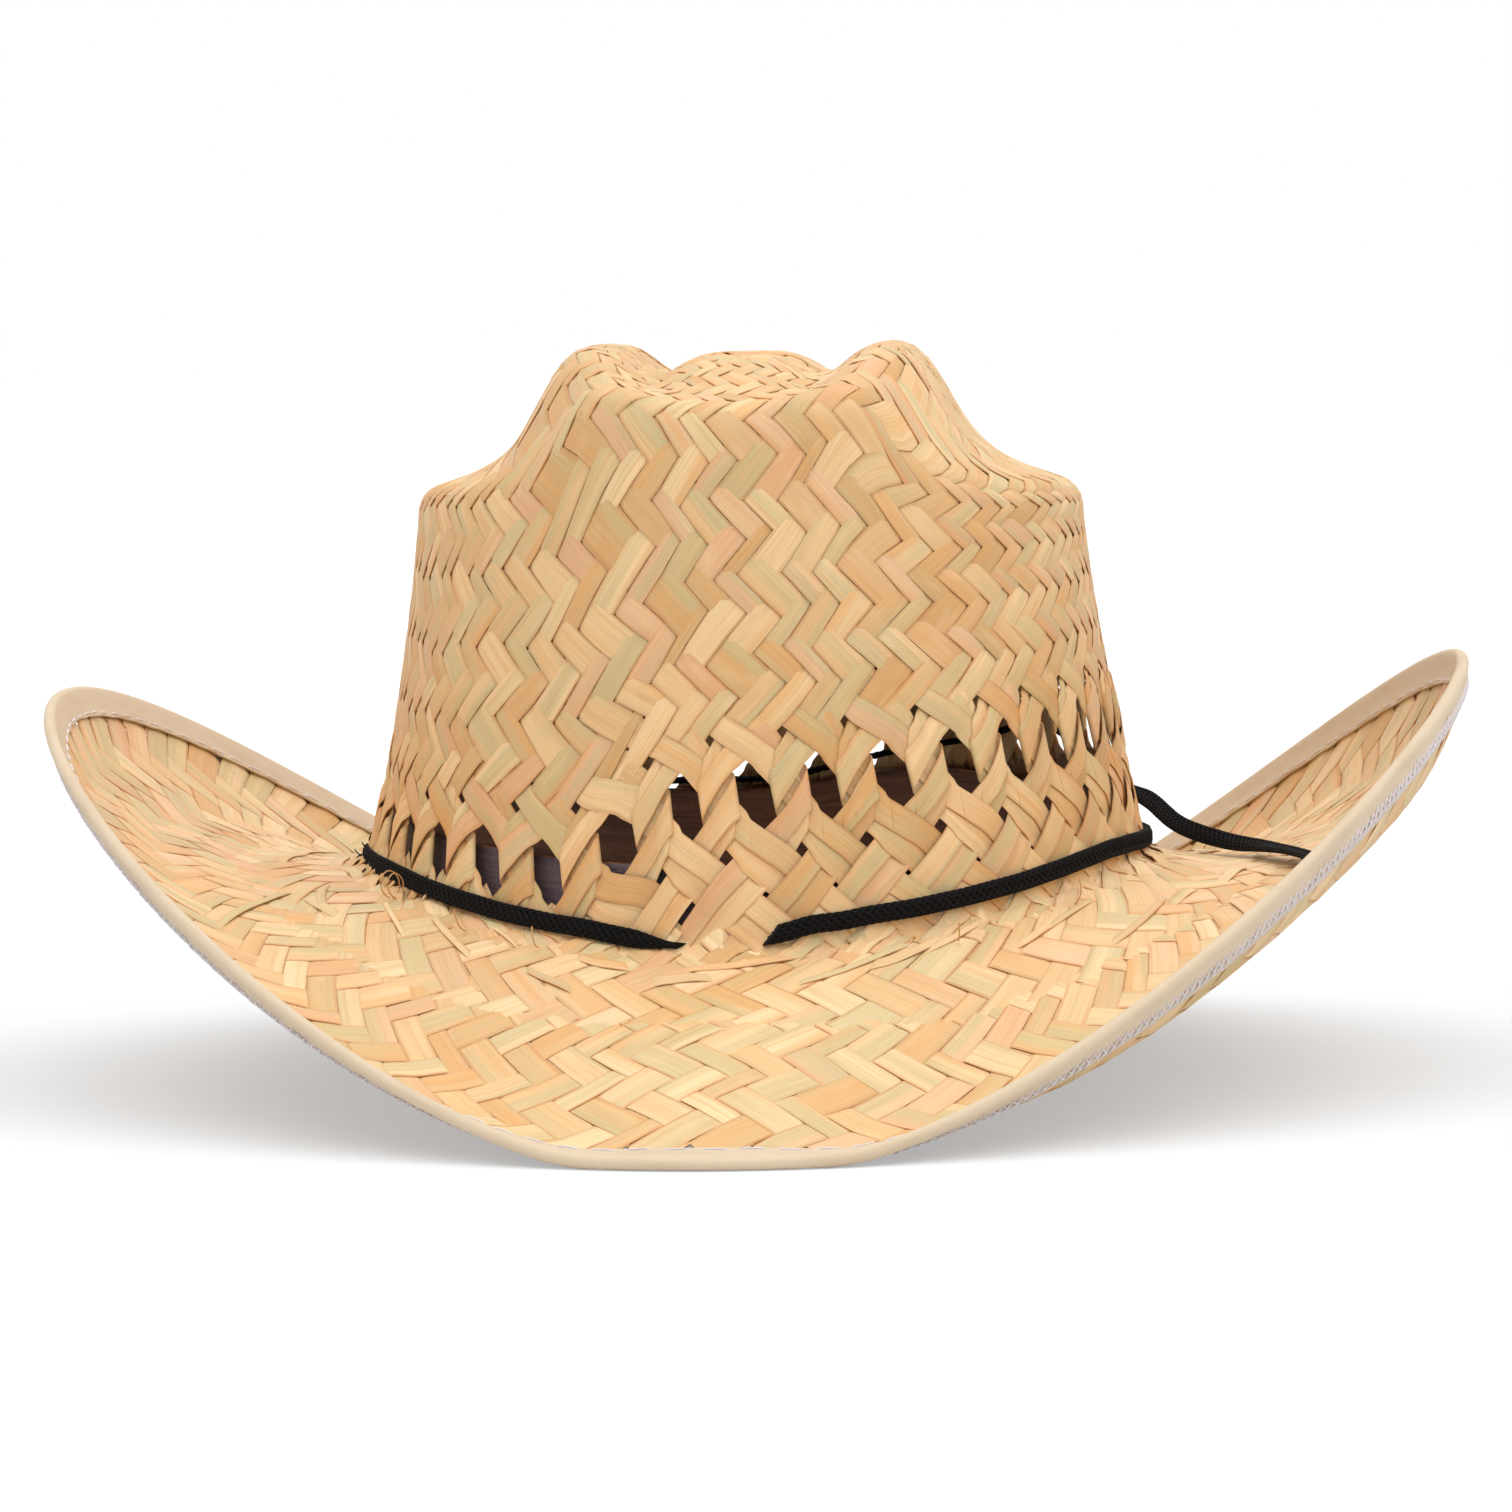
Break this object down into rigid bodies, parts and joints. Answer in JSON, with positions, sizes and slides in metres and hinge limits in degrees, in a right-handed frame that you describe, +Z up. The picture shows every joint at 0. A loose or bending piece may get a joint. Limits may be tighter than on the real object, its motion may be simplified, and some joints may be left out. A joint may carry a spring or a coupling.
{
  "type": "woven straw western hat",
  "caption": "Open-weave straw western hat with creased crown, vent row, upturned wired brim, bound edge, sweatband, braided hat cord and chin cord.",
  "frame": {"origin": "under the middle of the hat, on the surface that the front and the back of the brim rest on", "axes": "+Z up through the crown; -Y is the front, where the wearer looks; +X is the wearer's left"},
  "size_m": [0.3164, 0.3882, 0.1608],
  "materials": {
    "straw": "natural woven palm-leaf straw, pale tan, satin",
    "edge_wire": "drawn wire",
    "binding_tape": "pale folded tape, fine weave",
    "binding_thread": "off-white sewing thread",
    "sweatband": "dark brown leatherette",
    "sweatband_tape": "dark ribbon",
    "sweatband_thread": "dark sewing thread",
    "hat_cord": "black flat braid, matt",
    "chin_cord": "black flat braid, matt"
  },
  "bodies": {
    "root": {"binding_thread_lower": "binding_thread", "binding_thread_upper": "binding_thread", "brim": "straw", "brim_binding": "binding_tape", "brim_wire": "edge_wire", "chin_cord": "chin_cord", "chin_cord_anchor_knot": "chin_cord", "chin_cord_end_knot": "chin_cord", "crown_base_band": "straw", "crown_upper": "straw", "hat_cord": "hat_cord", "sweatband": "sweatband", "sweatband_seam_tape": "sweatband_tape", "sweatband_thread": "sweatband_thread", "vent_strand_01": "straw", "vent_strand_02": "straw", "vent_strand_03": "straw", "vent_strand_04": "straw", "vent_strand_05": "straw", "vent_strand_06": "straw", "vent_strand_07": "straw", "vent_strand_08": "straw", "vent_strand_09": "straw", "vent_strand_10": "straw", "vent_strand_11": "straw", "vent_strand_12": "straw", "vent_strand_13": "straw", "vent_strand_14": "straw", "vent_strand_15": "straw", "vent_strand_16": "straw", "vent_strand_17": "straw", "vent_strand_18": "straw", "vent_strand_19": "straw", "vent_strand_20": "straw", "vent_strand_21": "straw", "vent_strand_22": "straw", "vent_strand_23": "straw", "vent_strand_24": "straw", "vent_strand_25": "straw", "vent_strand_26": "straw", "vent_strand_27": "straw", "vent_strand_28": "straw", "vent_strand_29": "straw", "vent_strand_30": "straw", "vent_strand_31": "straw", "vent_strand_32": "straw", "vent_strand_33": "straw", "vent_strand_34": "straw", "vent_strand_35": "straw", "vent_strand_36": "straw"}
  },
  "joints": []
}
